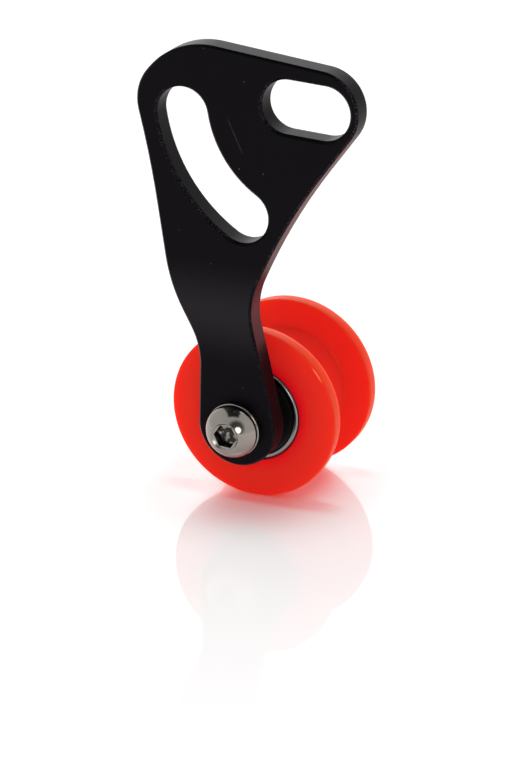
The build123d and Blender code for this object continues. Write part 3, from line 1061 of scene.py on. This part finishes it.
class TENSIONER_OT_stage(bpy.types.Operator):
    """Sets the floor, the room, the lights and the camera"""

    bl_idname = "tensioner.stage"
    bl_label = "Set Stage"

    def execute(self, context):
        stage = context.scene.tensioner_stage
        floor = self.lay_floor(stage)
        self.paint_room(context.scene, stage)
        target = Vector(stage.target)
        key = self.hang_softbox("key_softbox", stage.key_light, KEY_SOFTBOX, target)
        back = self.hang_softbox("back_softbox", stage.back_light, BACK_SOFTBOX, target)
        for light in (key, back):
            self.link_receiver(light, floor, "EXCLUDE")
        self.hang_floor_lamps(stage.floor_light, floor, target)
        self.hang_bounce_lamp(stage.bounce_light)
        self.set_camera(context.scene, stage, target)
        context.scene.view_settings.view_transform = "Standard"
        context.scene.cycles.use_denoising = True
        return {"FINISHED"}

    def lay_floor(self, stage):
        """A square floor that the roller stands on."""
        leave_selection()
        low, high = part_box("chain_roller")
        bpy.ops.mesh.primitive_plane_add(size=stage.floor_size, location=(0, 0, low.z))
        floor = bpy.context.object
        floor.name = "floor"
        bpy.ops.object.transform_apply(location=True)
        dress(floor, white_floor(stage, low.y, high.y))
        return floor

    def paint_room(self, scene, stage):
        """A white room with a dark ceiling, dark behind the camera and bright behind the piece."""
        scene.world = bpy.data.worlds.new("white_room")
        tree = NodeTree(scene.world)
        sight = tree.node("ShaderNodeTexCoord")["Generated"]
        wall_reach = (0.35, 0.95)
        to_window = direction(-156, 22)
        to_camera = direction(30, 22)
        across, _, _ = tree.split(sight)
        walls = tree.smooth(abs(across), *wall_reach)
        window = self.patch(tree, sight, to_window, inner=18, outer=42)
        camera_side = self.patch(tree, sight, to_camera, inner=21, outer=40)
        ceiling = self.ceiling(tree, sight)
        shade = (1 - ceiling * stage.ceiling_shade) * (1 - camera_side * stage.camera_shade)
        light = (stage.room_light + walls * stage.wall_light + window * stage.window_light) * shade
        inputs = {"Color": WHITE, "Strength": light}
        background = tree.node("ShaderNodeBackground", None, inputs)["Background"]
        tree.node("ShaderNodeOutputWorld", None, {"Surface": background})

    def patch(self, tree, sight, way, inner, outer):
        """One within the inner angle of a direction, nought outside the outer one, in degrees."""
        dot = {"operation": "DOT_PRODUCT"}
        nearness = tree.node("ShaderNodeVectorMath", dot, {0: sight, 1: way})["Value"]
        return tree.smooth(nearness, cos(radians(outer)), cos(radians(inner)))

    def ceiling(self, tree, sight):
        """One overhead, between a left, a right and a near edge that each lean a little."""
        left_edge, left_lean = -0.52, 0.57
        right_edge, right_lean = 0.28, 0.26
        near_edge, near_lean = -0.40, -0.28
        softness = 0.07
        rise = (0.62, 0.72)
        across, along, height = tree.split(sight)
        past_left = tree.smooth(across + along * left_lean, left_edge, left_edge + softness)
        before_right = tree.below(across + along * right_lean, right_edge, right_edge + softness)
        past_near = tree.smooth(along + across * near_lean, near_edge, near_edge + softness)
        return past_left * before_right * past_near * tree.smooth(height, *rise)

    def hang_softbox(self, name, brightness, box, target):
        """A round or oval softbox that faces the target and looks this bright."""
        leave_selection()
        way = direction(box.azimuth, box.elevation)
        bpy.ops.object.light_add(type="AREA", location=target + way * box.distance)
        light = bpy.context.object
        light.name = name
        light.rotation_euler = way.to_track_quat("Z", "Y").to_euler()
        light.data.shape = "ELLIPSE"
        light.data.size = box.width
        light.data.size_y = box.height
        light.data.energy = brightness * pi**2 * box.width * box.height / 4
        return light

    def hang_floor_lamps(self, brightness, floor, target):
        """A red and a cyan lamp overhead for the floor alone. The roller stops only the cyan one."""
        roller = bpy.data.objects["red_roller"]
        lamps = {"red": ((1.1, 0.0, 0.0), floor), "cyan": ((0.0, 1.0, 1.0), roller)}
        for name, (tint, blocker) in lamps.items():
            lamp = self.hang_softbox("floor_lamp_" + name, brightness, FLOOR_LAMP, target)
            lamp.data.color = tint
            self.link_receiver(lamp, floor, "INCLUDE")
            self.link_blocker(lamp, blocker)

    def hang_bounce_lamp(self, brightness):
        """A lamp for the arm alone, for the red that the roller throws on the side of its neck."""
        arm = bpy.data.objects["mounting_plate_eased"]
        roller = bpy.data.objects["red_roller"]
        neck_side = Vector((-10.6 * MM, -2.5 * MM, -45 * MM))
        thrown_red = (1.0, 0.03, 0.04)
        lamp = self.hang_softbox("roller_bounce", brightness, BOUNCE_LAMP, neck_side)
        lamp.data.color = thrown_red
        lamp.visible_camera = False
        self.link_receiver(lamp, arm, "INCLUDE")
        for blocker in (arm, roller):
            self.link_blocker(lamp, blocker)

    def link_receiver(self, light, piece, state):
        """Keeps a light off a piece, or lets it light only that piece."""
        pick(light, piece)
        bpy.ops.object.light_linking_receivers_link(link_state=state)

    def link_blocker(self, light, piece):
        """Makes a piece one of the few that stop a light."""
        pick(light, piece)
        bpy.ops.object.light_linking_blockers_link(link_state="INCLUDE")

    def set_camera(self, scene, stage, target):
        """A camera that looks at the target."""
        nearest = 10 * MM
        leave_selection()
        way = direction(degrees(stage.azimuth), degrees(stage.elevation))
        bpy.ops.object.camera_add(location=target + way * stage.distance)
        camera = bpy.context.object
        camera.rotation_euler = way.to_track_quat("Z", "Y").to_euler()
        camera.data.lens = stage.lens
        camera.data.clip_start = nearest
        scene.camera = camera


# Panel and registration


class TENSIONER_PT_pieces(bpy.types.Panel):
    """Lists the operators and their settings"""

    bl_label = "Chain Tensioner"
    bl_idname = "TENSIONER_PT_pieces"
    bl_space_type = "VIEW_3D"
    bl_region_type = "UI"
    bl_category = "Tensioner"

    def draw(self, context):
        for name, (_, operator) in PIECES.items():
            box = self.layout.box()
            box.operator(operator.bl_idname)
            settings = getattr(context.scene, name)
            for field in settings.__annotations__:
                box.prop(settings, field)


PIECES = {
    "tensioner_arm": (ArmSettings, TENSIONER_OT_arm),
    "tensioner_roller": (RollerSettings, TENSIONER_OT_roller),
    "tensioner_bolt": (BoltSettings, TENSIONER_OT_bolt),
    "tensioner_bearings": (BearingSettings, TENSIONER_OT_bearings),
    "tensioner_fasteners": (FastenerSettings, TENSIONER_OT_fasteners),
    "tensioner_stage": (StageSettings, TENSIONER_OT_stage),
}
CLASSES = (*(each for pair in PIECES.values() for each in pair), TENSIONER_PT_pieces)


def register():
    for each in CLASSES:
        bpy.utils.register_class(each)
    for name, (settings, _) in PIECES.items():
        setattr(bpy.types.Scene, name, PointerProperty(type=settings))


def unregister():
    for name in PIECES:
        delattr(bpy.types.Scene, name)
    for each in reversed(CLASSES):
        bpy.utils.unregister_class(each)


def main():
    register()
    bpy.ops.tensioner.arm()
    bpy.ops.tensioner.roller()
    bpy.ops.tensioner.bolt()
    bpy.ops.tensioner.bearings()
    bpy.ops.tensioner.fasteners()
    bpy.ops.tensioner.stage()


if __name__ == "__main__":
    main()
